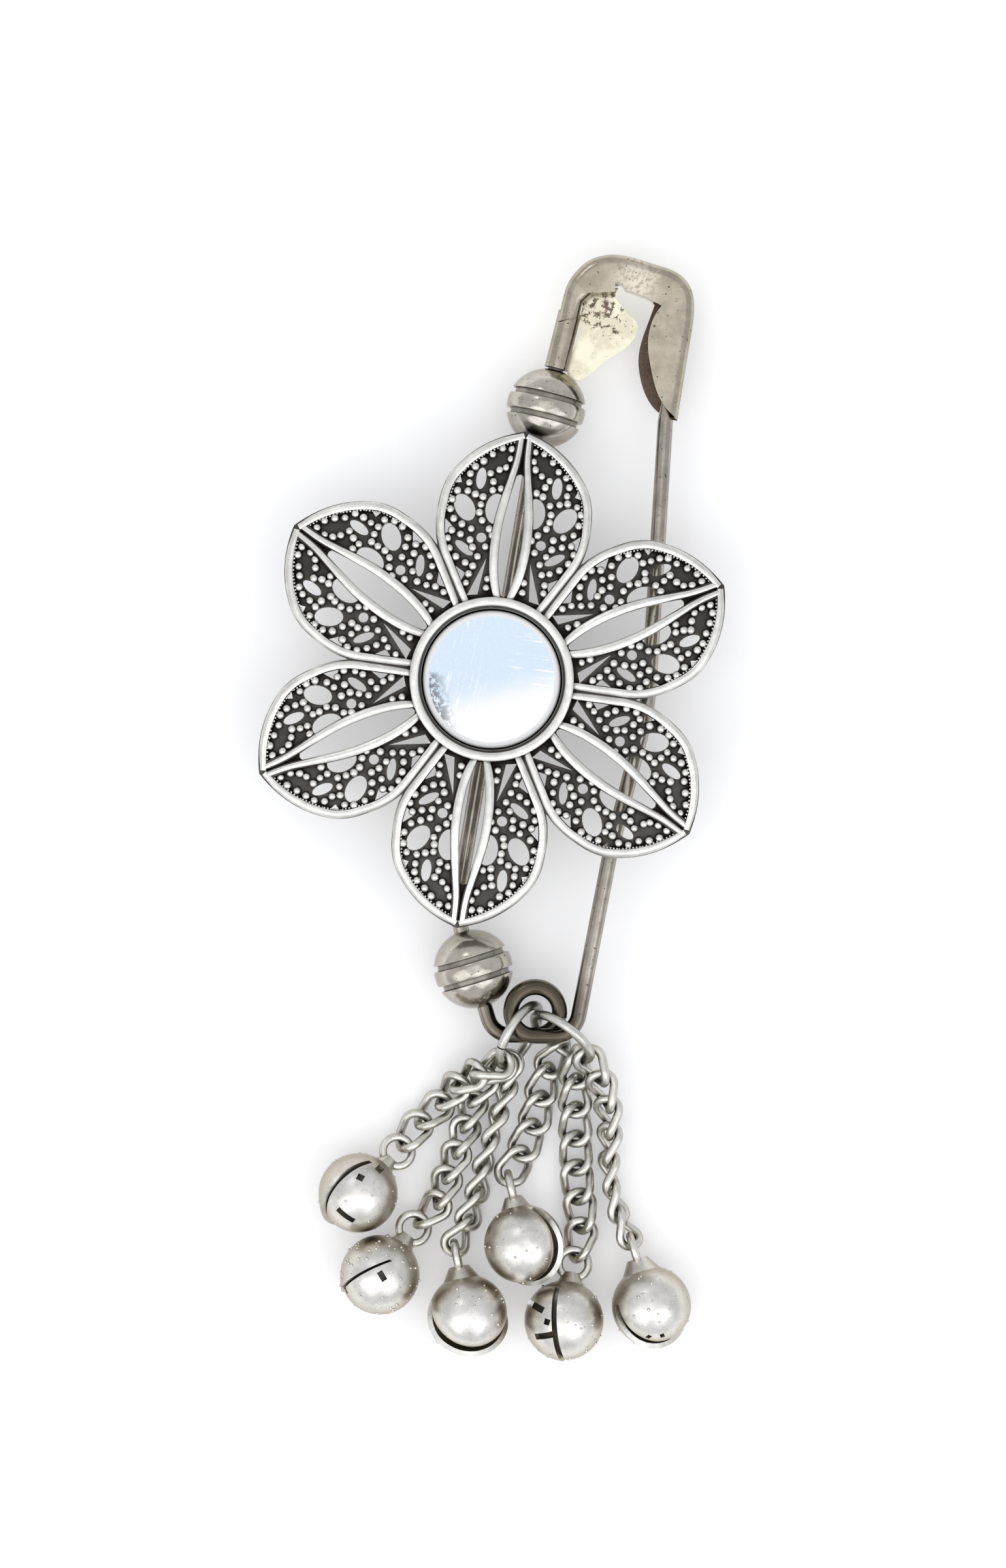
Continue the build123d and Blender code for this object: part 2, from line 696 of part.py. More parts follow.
def link_plane(route, reach, roll):
    """Where a link lies: its middle at a length along the route, and rolled about the route."""
    ahead = (route @ ((reach + LINK_AIM) / route.length) - route @ ((reach - LINK_AIM) / route.length)).normalized()
    up = (Vector(0, 0, 1) - ahead * ahead.Z).normalized()
    turn = math.radians(roll)
    across = up.cross(ahead) * math.cos(turn) + up * math.sin(turn)
    return Plane(origin=route @ (reach / route.length), x_dir=ahead, z_dir=ahead.cross(across))


def make_chain(name, bell_name):
    """A chain of loose links from its jump ring to the loop of its bell."""
    chain_row = CHAINS[name]
    middle, neck, across = bell_axes(bell_name)
    last = middle + neck * (BELL_LOOP_OUT + BELL_LOOP_D / 2)
    chosen = [(COIL_X + x, COIL_Y + y, z) for x, y, z in chain_row["points"]]
    with BuildLine():
        route = Spline(on_ring(chain_row["ring"], chain_row["place"]), *chosen, last)
    steps = chain_row["links"] - 1
    pitch = (route.length - HOOK - LAST_HOOK) / steps
    first_roll, last_roll = chain_row["roll"]
    places = []
    for number in range(chain_row["links"]):
        roll = first_roll + (last_roll - first_roll) * number / steps
        places.append(link_plane(route, HOOK + pitch * number, roll).location)
    with BuildPart() as chain:
        with Locations(*places):
            add(link.part)
    chain.part.label = name
    return chain


chains = [make_chain(*pair) for pair in zip(CHAINS, BELLS)]

nodes = [back_wire, pin_leg, bead_top, bead_bottom, flower, mirror_disc, cap, *jump_rings, *chains, *bells]
for node in nodes:
    export_step(node.part, f"parts/{node.part.label}.step")
    print(node.part.label, round(node.part.volume, 1), "solids", len(node.part.solids()))
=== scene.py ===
# %% [markdown]
# # A saree pin: pierced flower, mirror, beads, chains and bells
# The real object is a large safety pin. Its straight arm carries two beads and a cast flower with a
# round mirror. Two rings hang in its coil, and each holds three curb chains that end in small bells.
# The engineering model fixes where every piece lies. This lesson dresses it: some pieces keep their
# shape and get a finish, and the ones that carry fine detail are modelled again in place.

import math
import random

import bmesh
import bpy
from mathutils import Matrix, Vector


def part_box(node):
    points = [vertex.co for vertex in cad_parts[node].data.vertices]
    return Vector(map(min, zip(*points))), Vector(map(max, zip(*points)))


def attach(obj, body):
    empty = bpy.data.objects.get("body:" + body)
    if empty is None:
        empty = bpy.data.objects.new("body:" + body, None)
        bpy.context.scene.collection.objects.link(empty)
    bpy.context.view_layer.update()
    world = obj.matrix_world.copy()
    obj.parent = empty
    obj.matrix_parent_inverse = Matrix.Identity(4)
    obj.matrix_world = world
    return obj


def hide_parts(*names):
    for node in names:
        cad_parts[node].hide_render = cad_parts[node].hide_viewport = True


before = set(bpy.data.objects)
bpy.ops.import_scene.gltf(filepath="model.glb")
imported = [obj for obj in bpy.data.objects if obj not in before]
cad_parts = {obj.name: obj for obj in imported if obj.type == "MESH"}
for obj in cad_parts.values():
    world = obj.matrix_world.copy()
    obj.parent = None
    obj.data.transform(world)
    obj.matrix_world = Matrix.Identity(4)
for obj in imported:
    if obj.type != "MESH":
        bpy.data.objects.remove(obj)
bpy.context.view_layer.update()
MM = 0.001
random.seed(7)

# %% [markdown]
# ## Paint from expressions
# A finish is a network of small nodes. Wiring them by hand hides the idea, so one small class wraps a
# socket and lets us write sums, and one method makes any other node from its type and its inputs.


# %% A socket that does arithmetic
class Value:
    """One output of a node. Sums with it add Math nodes to the same finish."""

    def __init__(self, finish, socket):
        self.finish = finish
        self.socket = socket

    def math(self, operation, *others):
        return self.finish.node("ShaderNodeMath", {"operation": operation}, *others)

    def __add__(self, other):
        return self.math("ADD", self, other)

    def __sub__(self, other):
        return self.math("SUBTRACT", self, other)

    def __rsub__(self, other):
        return self.math("SUBTRACT", other, self)

    def __mul__(self, other):
        return self.math("MULTIPLY", self, other)

    __radd__ = __add__
    __rmul__ = __mul__

    def between(self, low, high):
        """0 below low, 1 above high, and a soft step in between."""
        settings = {"interpolation_type": "SMOOTHSTEP"}
        return self.finish.node("ShaderNodeMapRange", settings, self, low, high, 0.0, 1.0)


# %% A finish that collects nodes
class Finish:
    """A material with one Principled shader. Call node() for what varies and fixed() for what doesn't."""

    def __init__(self, name):
        self.material = bpy.data.materials.new(name)
        self.material.use_nodes = True
        self.tree = self.material.node_tree
        self.shader = self.tree.nodes["Principled BSDF"]
        self.place = self.node("ShaderNodeTexCoord", output="Object")

    def node(self, kind, settings=None, *values, output=0, **named):
        made = self.tree.nodes.new(kind)
        for key, value in (settings or {}).items():
            setattr(made, key, value)
        for key, value in [*enumerate(values), *named.items()]:
            self.feed(made.inputs[key], value)
        return Value(self, made.outputs[output])

    def feed(self, socket, value):
        if isinstance(value, Value):
            self.tree.links.new(value.socket, socket)
        else:
            socket.default_value = value

    def noise(self, size, detail=2.0, rough=0.5, place=None):
        """Cloudy variation with patches of about this size, in metres."""
        inputs = dict(Vector=place or self.place, Scale=1 / size, Detail=detail, Roughness=rough)
        return self.node("ShaderNodeTexNoise", None, **inputs)

    def near(self, spot, full, none):
        """1 up to one distance from a spot, and 0 past another."""
        settings = {"operation": "DISTANCE"}
        away = self.node("ShaderNodeVectorMath", settings, self.place, spot, output="Value")
        return 1 - away.between(full, none)

    def mix(self, mask, first, second):
        """first where the mask is 0 and second where it is 1."""
        made = self.tree.nodes.new("ShaderNodeMix")
        made.data_type = "RGBA"
        for socket, value in zip((made.inputs[0], made.inputs[6], made.inputs[7]), (mask, first, second)):
            self.feed(socket, value)
        return Value(self, made.outputs[2])

    def fixed(self, **constants):
        for name, value in constants.items():
            self.shader.inputs[name.replace("_", " ")].default_value = value

    def varies(self, **links):
        for name, value in links.items():
            self.feed(self.shader.inputs[name.replace("_", " ")], value)

    def bump(self, height, depth, strength):
        """Dents and scratches that only the light sees."""
        made = self.node("ShaderNodeBump", None, Height=height, Distance=depth, Strength=strength)
        self.varies(Normal=made)

    def open_air(self, reach):
        """1 in the open, towards 0 where the metal is closed in within this reach."""
        return self.node("ShaderNodeAmbientOcclusion", {"samples": 8}, Distance=reach, output="AO")

    def sides(self, low, high):
        """1 on faces that look sideways or down, 0 on those that look up."""
        facing = self.node("ShaderNodeNewGeometry", output="Normal")
        return 1 - self.node("ShaderNodeSeparateXYZ", None, facing, output="Z").between(low, high)


def rgba(red, green, blue):
    """A colour as the shader wants it."""
    return (red, green, blue, 1.0)


def dimmed(tone, red, green, blue):
    """A tone with each of its three parts cut to a share."""
    return rgba(red * tone[0], green * tone[1], blue * tone[2])


def at(x, y, z):
    """A place on the pin, given in mm."""
    return (x * MM, y * MM, z * MM)


# %% [markdown]
# ## Old nickel on the pin wire, beads and cap
# The wire, beads and cap are nickel-plated and handled: a warm grey with brighter rubbed patches, dirt
# and painted shade where pieces meet and in grooves, painted shade on the sides, pinholes, and rust where
# the plate has gone. We could paint one grey and hope for reflections, but worn plate is patchy, so colour
# and roughness both follow soft noise.


# %% Nickel, with as much rust as asked for
RUST = rgba(0.150, 0.062, 0.020)
DARK_RUST = rgba(0.034, 0.015, 0.007)
PINHOLE = rgba(0.07, 0.05, 0.035)
# Dirt and painted shade for places that are closed in
DIRT_AND_SHADE = rgba(0.040, 0.030, 0.022)


def make_nickel(name, tone, rust, reach, keep, place=None):
    """Satin nickel plate. rust is how freely it turns brown, reach how far around the dirt and painted shade
    looks, keep its step from dirt and shade to plate, and place a function that gives some places their
    own colour and rust."""
    nickel = Finish(name)
    cloud = nickel.noise(1.8 * MM, 4.0, 0.6).between(0.32, 0.68)
    fine = nickel.noise(0.22 * MM, 3.0, 0.6)
    pits = (nickel.noise(0.36 * MM, 1.0, 0.5) + 0.05 * rust).between(0.71, 0.76)
    closed = 1 - nickel.open_air(reach).between(*keep)
    patches = nickel.noise(0.62 * MM, 4.0, 0.7) + 0.10 * rust
    colour = nickel.mix(cloud, dimmed(tone, 0.74, 0.74, 0.74), rgba(*tone))
    # Painted shade: faces that look sideways or down are made darker
    colour = nickel.mix(nickel.sides(0.10, 0.85) * 0.7, colour, dimmed(tone, 0.36, 0.33, 0.28))
    if place:
        colour, patches = place(nickel, colour, patches)
    rusted = patches.between(0.68, 0.76)
    colour = nickel.mix(pits * 0.8, colour, PINHOLE)
    # Dirt and painted shade: ambient occlusion darkens joins, creases and grooves
    colour = nickel.mix(closed * 0.92, colour, DIRT_AND_SHADE)
    colour = nickel.mix(rusted * 0.85, colour, nickel.mix(fine.between(0.35, 0.65), DARK_RUST, RUST))
    nickel.varies(Base_Color=colour, Metallic=1 - 0.75 * rusted)
    nickel.varies(Roughness=0.12 + 0.14 * fine + 0.40 * rusted + 0.20 * closed)
    nickel.bump(fine + (1 - pits) * 2, 0.010 * MM, 0.4)
    return nickel.material


# %% Places with a finish of their own
CHANNEL_EDGE = at(24.0, 45.5, 3.0)  # the middle of the circle that the channel's edge follows
TONGUE_ROOT = at(11.0, 50.6, 3.0)
BAR_MIDDLE = at(14.6, 53.0, 6.0)
COIL_MIDDLE = at(4.4, -20.6, 5.0)


def dress_cap(nickel, colour, patches):
    """The guard tongue keeps its plate but pits at its root, and the channel behind the leg is rusted
    through. The middle of the top bar is painted brighter in a mottled patch."""
    height = nickel.node("ShaderNodeSeparateXYZ", None, nickel.place, output="Z")
    deep = 1 - height.between(3.3 * MM, 4.4 * MM)
    channel = nickel.near(CHANNEL_EDGE, 9.25 * MM, 9.45 * MM) * deep
    tongue = deep * (1 - channel)
    root = nickel.near(TONGUE_ROOT, 0.5 * MM, 5.5 * MM) * tongue
    streak = nickel.noise(2.2 * MM, 3.0, 0.6).between(0.40, 0.60)
    plate = nickel.mix(streak, rgba(0.83, 0.77, 0.60), rgba(0.99, 0.95, 0.76))
    # A brighter mottled patch painted on the middle of the top bar
    bright_patch = nickel.near(BAR_MIDDLE, 0.4 * MM, 3.6 * MM)
    bright_patch = bright_patch * nickel.noise(0.5 * MM, 4.0, 0.7).between(0.36, 0.56)
    colour = nickel.mix(bright_patch * 0.8, colour, rgba(0.97, 0.91, 0.78))
    colour = nickel.mix(tongue, colour, plate)
    return colour, patches + 0.20 * root + 0.40 * channel


def dress_coil(nickel, colour, patches):
    """The spring coil is duller and browner than the straight wire."""
    coil = nickel.near(COIL_MIDDLE, 3.5 * MM, 7.0 * MM)
    return nickel.mix(coil * 0.92, colour, rgba(0.090, 0.076, 0.052)), patches


nickel_wire = make_nickel(
    "worn_nickel_wire", tone=(0.50, 0.46, 0.40), rust=0.12, reach=0.8 * MM, keep=(0.20, 0.80),
    place=dress_coil,
)
nickel_bead = make_nickel(
    "worn_nickel_bead", tone=(0.66, 0.62, 0.545), rust=0.15, reach=0.55 * MM, keep=(0.48, 0.95)
)
nickel_cap = make_nickel(
    "rusty_nickel_cap", tone=(0.56, 0.51, 0.405), rust=0.10, reach=0.8 * MM, keep=(0.25, 0.85),
    place=dress_cap,
)
print("nickel finishes:", nickel_wire.name, nickel_bead.name, nickel_cap.name)

# %% [markdown]
# ## Oxidised silver on the flower, chains and bells
# Cast pieces are blackened all over and then polished, so the black stays only in the hollows. An
# ambient occlusion node knows how closed in a point is, which is just what a polishing wheel feels:
# the open crowns come out bright and everything it can't reach stays black. Sides get painted shade.


# %% Silver that is black in the hollows
SOOT = rgba(0.014, 0.011, 0.009)


def make_silver(name, tone, shaded_side_tone, reach, keep, stain, dents=0.0):
    """Oxidised casting. shaded_side_tone is the painted shade on its sides, reach how far around the black
    looks, keep its step from black to bright, stain how dark its flecks are, and dents how uneven its face
    is."""
    silver = Finish(name)
    cloud = silver.noise(1.3 * MM, 4.0, 0.6).between(0.30, 0.72)
    fine = silver.noise(0.20 * MM, 3.0, 0.6)
    flecks = silver.noise(0.40 * MM, 3.0, 0.65).between(0.62, 0.72)
    polished = silver.open_air(reach).between(*keep)
    colour = silver.mix(cloud, dimmed(tone, 0.80, 0.80, 0.80), rgba(*tone))
    # Painted shade: faces that look sideways or down take the darker side tone
    painted_side_shade = silver.sides(0.20, 0.92) + 0.3 * (fine - 0.5)
    colour = silver.mix(painted_side_shade, colour, rgba(*shaded_side_tone))
    colour = silver.mix(flecks * stain, colour, SOOT)
    colour = silver.mix(polished, SOOT, colour)
    silver.fixed(Metallic=1.0)
    silver.varies(Base_Color=colour, Roughness=0.50 - 0.22 * polished + 0.12 * fine)
    silver.bump(fine * 0.25 + flecks * 0.2 + silver.noise(1.5 * MM, 2.0) * dents, 0.05 * MM, 0.5)
    return silver.material


petal_silver = make_silver(
    "polished_petal", tone=(0.95, 0.94, 0.90), shaded_side_tone=(0.50, 0.49, 0.46), reach=0.7 * MM,
    keep=(0.30, 0.66), stain=0.05,
)
lattice_silver = make_silver(
    "black_lattice", tone=(0.085, 0.080, 0.072), shaded_side_tone=(0.30, 0.29, 0.27), reach=1.1 * MM,
    keep=(0.40, 0.97), stain=0.3,
)
chain_silver = make_silver(
    "chain_links", tone=(0.88, 0.86, 0.80), shaded_side_tone=(0.33, 0.30, 0.25), reach=1.1 * MM,
    keep=(0.18, 0.60), stain=0.22,
)
bell_silver = make_silver(
    "cast_bell", tone=(0.95, 0.93, 0.88), shaded_side_tone=(0.42, 0.37, 0.29), reach=1.5 * MM,
    keep=(0.18, 0.56), stain=0.35, dents=1.8,
)
ring_silver = make_silver(
    "ring_wire", tone=(0.78, 0.77, 0.72), shaded_side_tone=(0.36, 0.34, 0.30), reach=0.8 * MM,
    keep=(0.08, 0.45), stain=0.12,
)
for silver in (petal_silver, lattice_silver, chain_silver, bell_silver, ring_silver):
    print("silver finish:", silver.name)

# %% [markdown]
# ## Scratched mirror
# The mirror is silvered glass that has been rubbed. Its colour carries a painted reflection: pale blue
# above, where it would show the sky of the studio, and white below. It has fine scratches in two
# directions and tarnish specks at its left edge. Stretched noises turned against each other give
# scratches without drawing a single line.

# %% Mirror finish
WHITE = rgba(1.0, 1.0, 1.0)
# Painted reflection of the studio's sky
PAINTED_SKY = rgba(0.70, 0.815, 0.945)
TARNISH = rgba(0.17, 0.18, 0.21)
GROUND_GLASS = rgba(0.98, 0.98, 0.98)
EDGE_W = 0.60 * MM
mirror_low, mirror_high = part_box("mirror")
mirror_mid = (mirror_low + mirror_high) / 2
mirror_r = (mirror_high.x - mirror_low.x) / 2
mirror = Finish("scratched_mirror")
centred = mirror.node("ShaderNodeMapping", None, mirror.place, tuple(-c for c in mirror_mid))


def scratches(turn, stretch, width, low, high):
    """Thin streaks in one direction. They are turned first and stretched after."""
    turned = mirror.node("ShaderNodeMapping", None, centred, (0, 0, 0), (0, 0, -turn))
    drawn = mirror.node("ShaderNodeMapping", None, turned, (0, 0, 0), (0, 0, 0), (stretch, 1, 1))
    return mirror.noise(width, 3.0, 0.6, drawn).between(low, high)


# %% Where the glass carries a painted sky reflection, is scratched, tarnished and ground
across = mirror.node("ShaderNodeSeparateXYZ", None, centred, output="X")
upward = mirror.node("ShaderNodeSeparateXYZ", None, centred, output="Y")
on_left = 1 - across.between(-3.5 * MM, 0.5 * MM)
on_right = across.between(0.0, 3.0 * MM)
upright_marks = scratches(1.35, 0.07, 0.30 * MM, 0.57, 0.63) * on_left
level_marks = scratches(-0.12, 0.08, 0.34 * MM, 0.60, 0.66) * on_right
haze = mirror.noise(0.16 * MM, 3.0, 0.7).between(0.50, 0.72)
marks = upright_marks * 0.8 + level_marks * 0.8 + haze * 0.35
painted_horizon = upward + 0.6 * mirror.noise(0.9 * MM, 4.0, 0.7) * MM - 0.25 * across
left_edge = 1 - (across + 0.25 * upward).between(-6.3 * MM, -4.2 * MM)
low_left = upward.between(-5.6 * MM, -4.2 * MM) * (1 - upward.between(0.3 * MM, 1.0 * MM))
tarnish = left_edge * low_left * mirror.noise(0.55 * MM, 4.0, 0.75).between(0.44, 0.52)
ground = 1 - mirror.near(tuple(mirror_mid), mirror_r - EDGE_W, mirror_r - 0.8 * EDGE_W)
# Painted reflection: sky blue above the painted horizon and white below it
glass = mirror.mix(painted_horizon.between(-3.2 * MM, 0.6 * MM), WHITE, PAINTED_SKY)
glass = mirror.mix(marks, glass, WHITE)
glass = mirror.mix(tarnish * 0.9, glass, TARNISH)
glass = mirror.mix(ground, glass, GROUND_GLASS)
mirror.varies(Base_Color=glass, Metallic=1 - ground, Roughness=0.10 + 0.2 * marks + 0.3 * ground)
print("mirror middle, mm:", [round(c / MM, 2) for c in mirror_mid])

# %% [markdown]
# ## From a bmesh to a piece
# Every piece is finished the same way: its doubles are merged, its normals point outwards, and edges
# sharper than an angle stay crisp while the rest shade smoothly. Its object stays at the origin.


# %% Finish a mesh and put it in the scene
def finish_piece(name, work, material, sharp=35.0, body="pin", recalc=True):
    """Turns a bmesh into a piece that rides on a body."""
    bmesh.ops.remove_doubles(work, verts=work.verts, dist=0.0005 * MM)
    if recalc:
        bmesh.ops.recalc_face_normals(work, faces=work.faces)
    for face in work.faces:
        face.smooth = True
    for edge in work.edges:
        edge.smooth = len(edge.link_faces) < 2 or edge.calc_face_angle(0) < math.radians(sharp)
    mesh = bpy.data.meshes.new(name)
    work.to_mesh(mesh)
    work.free()
    mesh.materials.append(material)
    piece = bpy.data.objects.new(name, mesh)
    bpy.context.scene.collection.objects.link(piece)
    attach(piece, body)
    print(name, "faces:", len(mesh.polygons))
    return piece


# %% [markdown]
# ## Pieces that keep their engineered shape
# The pin's wires, its cap, the rings and the chain links are already exact. Their meshes come as loose
# triangles, so a copy is welded first, which lets the round wire shade as round. The links get a hair
# more wire, because real links touch and the engineered ones keep a gap.


# %% Weld a copy of an engineered node
def dress(node, material, body="pin", grow=0.0, sharp=35.0):
    """A welded copy of a node, thickened by grow, which stands for it."""
    work = bmesh.new()
    work.from_mesh(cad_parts[node].data)
    bmesh.ops.remove_doubles(work, verts=work.verts, dist=0.001 * MM)
    if grow:
        work.normal_update()
        for vert in work.verts:
            vert.co += vert.normal * grow
    piece = finish_piece(node + "_dressed", work, material, sharp, body, recalc=False)
    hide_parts(node)


LINK_GROWTH = 0.045 * MM
RING_GROWTH = 0.030 * MM
dress("back_wire", nickel_wire)
dress("pin_leg", nickel_wire, body="leg")
dress("cap", nickel_cap, sharp=40.0)
for side in ("left", "right"):
    dress(f"jump_ring_{side}", ring_silver, grow=RING_GROWTH)
for number in range(1, 7):
    dress(f"chain_{number}", chain_silver, grow=LINK_GROWTH)

# %% [markdown]
# ## Beads
# Each bead is a turned ball with a middle band between two wide grooves. A lathe would cut it, so we do
# the same: draw half of its outline and spin it about the wire that it is threaded on.

# %% Bead outline
BEAD_R = 4.0 * MM
BORE_R = 0.86 * MM
GROOVE_AT = 1.04 * MM
GROOVE_HALF = 0.31 * MM
GROOVE_DEPTH = 0.36 * MM
TOP_LEAN = math.radians(14.0)  # how far the arm leans where it goes through each bead
LOW_LEAN = math.radians(-16.8)
ARC_STEPS = 10


def ball_radius(height):
    """How far the bead's surface is from its axis at this height."""
    return math.sqrt(BEAD_R ** 2 - height ** 2)


def bead_outline():
    """Half of the outline, from the bore's top end to its bottom end: distance from the axis, and height."""
    end = ball_radius(BORE_R)
    outer, inner = GROOVE_AT + GROOVE_HALF, GROOVE_AT - GROOVE_HALF
    high, low = math.asin(end / BEAD_R), math.asin((outer + 0.10 * MM) / BEAD_R)
    steps = [high + (low - high) * step / ARC_STEPS for step in range(ARC_STEPS + 1)]
    upper = [(BEAD_R * math.cos(angle), BEAD_R * math.sin(angle)) for angle in steps]
    bottom = ball_radius(outer) - GROOVE_DEPTH
    # Down into the groove, along its bottom, out again over a soft edge, and onto the middle band
    upper += [
        (ball_radius(outer) - 0.03 * MM, outer),
        (bottom, outer - 0.06 * MM),
        (bottom + 0.04 * MM, inner + 0.06 * MM),
        (ball_radius(inner) - 0.05 * MM, inner),
        (ball_radius(inner) + 0.01 * MM, inner - 0.09 * MM),
        (ball_radius(0.3 * MM), 0.3 * MM),
    ]
    lower = [(radius, -height) for radius, height in reversed(upper)]
    return upper + lower + [(BORE_R, -end), (BORE_R, end)]


def make_bead(node, lean):
    """Spins the outline about the wire's direction through the middle of the node."""
    low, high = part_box(node)
    work = bmesh.new()
    points = [work.verts.new((radius, 0, height)) for radius, height in bead_outline()]
    outline = [work.edges.new(pair) for pair in zip(points, points[1:])]
    bmesh.ops.spin(
        work, geom=points + outline, cent=(0, 0, 0), axis=(0, 0, 1), angle=2 * math.pi,
        steps=72, use_merge=True,
    )
    threaded = Matrix.Rotation(-lean, 4, "Z") @ Matrix.Rotation(-math.pi / 2, 4, "X")
    bmesh.ops.transform(work, matrix=Matrix.Translation((low + high) / 2) @ threaded, verts=work.verts)
    piece = finish_piece(node + "_turned", work, nickel_bead, sharp=28.0)
    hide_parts(node)


make_bead("bead_top", TOP_LEAN)
make_bead("bead_bottom", LOW_LEAN)

# %% [markdown]
# ## The flower's plate
# The pierced plate keeps its engineered shape, with every opening cut right through. Its top is the dark
# lattice that the bright details stand on. Each petal is a shallow dome, and one function gives the
# height of its face, so details can be made flat and then pressed onto it.

# %% Plate, and how to press onto it
PETALS = 6
PETAL_TURN = math.radians(82.0)
PETAL_REACH = 25.1 * MM
CREST_R = 13.0 * MM
ARCH = 1.75 * MM
PLATE_T = 0.9 * MM
LIP_RISE = 0.75 * MM
dress("flower", lattice_silver, sharp=32.0)
flower_mid = Vector((mirror_mid.x, mirror_mid.y, 0))
lip_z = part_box("flower")[1].z
crest_z = lip_z - LIP_RISE - PLATE_T
arch_r = ((PETAL_REACH - CREST_R) ** 2 + ARCH ** 2) / (2 * ARCH)


def press(flat, petal):
    """Moves a point of a flat petal, which points along X, onto one petal of the flower."""
    face = math.sqrt((arch_r + PLATE_T) ** 2 - (flat.x - CREST_R) ** 2 - flat.y ** 2) - arch_r
    turn = Matrix.Rotation(PETAL_TURN + petal * 2 * math.pi / PETALS, 3, "Z")
    return flower_mid + turn @ Vector((flat.x, flat.y, 0)) + Vector((0, 0, crest_z + face + flat.z))


def press_all(work, mesh, petal):
    """Adds a flat mesh to a bmesh, pressed onto one petal."""
    pressed = mesh.copy()
    for vert in pressed.vertices:
        vert.co = press(vert.co, petal)
    work.from_mesh(pressed)
    bpy.data.meshes.remove(pressed)


print("crest height, mm:", round(crest_z / MM, 2), "arch radius, mm:", round(arch_r / MM, 1))

# %% [markdown]
# ## Rims and ribs
# Each petal has a wire-like rim and two ribs that part around a lens-shaped gap. A rounded bar that
# follows a line is a curve object's own job: a few chosen points, a bevel, and the curve is made a mesh.
# One flat petal is made, its bars are flattened a little, and it is pressed onto all six.

# %% Bars that follow a line
# Along the petal and aside from its line, in mm, with the bar's thickness there as a share
RIM = [
    (7.2, 3.62, 0.85), (9.0, 4.68, 0.92), (10.8, 5.72, 0.96), (12.6, 6.70, 1.0), (14.2, 7.17, 1.0),
    (16.4, 7.28, 1.0), (19.08, 6.84, 1.0), (20.79, 5.82, 1.0), (22.53, 4.12, 1.0), (23.79, 2.20, 0.95),
    (24.62, 0.15, 0.85),
]
RIB = [
    (7.9, 0.56, 0.85), (10.0, 1.20, 1.0), (12.0, 1.50, 1.05), (14.0, 1.58, 1.05), (16.0, 1.48, 1.0),
    (18.0, 1.20, 0.95), (20.0, 0.85, 0.85), (22.0, 0.52, 0.80), (24.5, 0.40, 0.78),
]
BAR_R = 0.475 * MM
BAR_FLATNESS = 0.86
BAR_LIFT = 0.28 * MM


def add_bar(work, places, radius):
    """Adds a round bar with closed ends through these places to a bmesh."""
    curve = bpy.data.curves.new("bar", "CURVE")
    curve.dimensions = "3D"
    curve.bevel_depth = radius
    curve.bevel_resolution = 3
    curve.resolution_u = 4
    curve.use_fill_caps = True
    spline = curve.splines.new("BEZIER")
    spline.bezier_points.add(len(places) - 1)
    for point, (along, aside, share) in zip(spline.bezier_points, places):
        point.co = (along * MM, aside * MM, 0)
        point.radius = share
        point.handle_left_type = point.handle_right_type = "AUTO"
    holder = bpy.data.objects.new("bar", curve)
    work.from_mesh(bpy.data.meshes.new_from_object(holder))
    bpy.data.objects.remove(holder)


def flat_pair(places):
    """A flat mesh of one bar and its mirror image across the petal's line."""
    work = bmesh.new()
    for side in (1, -1):
        add_bar(work, [(along, side * aside, share) for along, aside, share in places], BAR_R)
    bmesh.ops.scale(work, vec=(1, 1, BAR_FLATNESS), verts=work.verts)
    bmesh.ops.translate(work, vec=(0, 0, BAR_LIFT), verts=work.verts)
    mesh = bpy.data.meshes.new("flat bars")
    work.to_mesh(mesh)
    work.free()
    return mesh


for name, places in (("petal_rims", RIM), ("petal_ribs", RIB)):
    flat_bars = flat_pair(places)
    bars = bmesh.new()
    for petal in range(PETALS):
        press_all(bars, flat_bars, petal)
    finish_piece(name, bars, petal_silver)

# %% [markdown]
# ## Grains
# Bright grains of metal follow every opening like beaded wire, and a row of very small ones makes the
# milled inner edge of the rim. There are hundreds, so each has only a few dozen faces. Their places are
# a short list for half a petal, mirrored and turned, and each wanders a little as cast ones do.

# %% One grain, and a way to add many
ball_work = bmesh.new()
bmesh.ops.create_uvsphere(ball_work, u_segments=12, v_segments=7, radius=1.0)
unit_ball = bpy.data.meshes.new("grain")
ball_work.to_mesh(unit_ball)
ball_work.free()


def add_ball(work, spot, radius, flatness=1.0):
    """Adds one small ball, which may be flattened from above."""
    ball = unit_ball.copy()
    ball.transform(Matrix.Translation(spot) @ Matrix.Diagonal((radius, radius, radius * flatness, 1.0)))
    work.from_mesh(ball)
    bpy.data.meshes.remove(ball)


# %% Grains on half a petal
# Aside from the petal's line and along it, in mm, loop by loop from the tip to the cup
GRAINS = [
    (1.15, 23.1), (2.10, 23.0), (3.00, 22.25), (1.15, 22.1), (1.45, 21.25), (3.75, 21.5), (4.60, 20.9),
    (2.10, 20.75), (2.95, 20.35), (5.00, 20.05), (2.60, 19.6), (4.95, 19.15), (1.75, 19.0), (2.55, 18.75),
    (5.05, 18.3), (4.20, 18.15), (6.05, 18.25), (3.35, 17.9), (3.45, 17.1), (6.50, 17.35), (3.55, 16.3),
    (6.50, 16.35), (3.25, 15.5), (6.00, 15.4), (2.45, 14.9), (5.05, 14.95), (4.10, 14.55), (6.00, 14.2),
    (5.07, 13.9), (1.98, 14.2), (4.10, 13.6), (6.35, 13.35), (3.65, 12.85), (2.45, 13.0), (5.95, 12.4),
    (3.10, 11.95), (5.20, 11.7), (4.30, 11.2), (3.45, 10.95), (3.85, 10.1), (1.80, 9.9), (3.90, 9.2),
    (1.80, 8.95),
]
GRAIN_R = 0.43 * MM
GRAIN_LIFT = 0.12  # in mm, as the list is
GRAIN_FLATNESS = 0.80
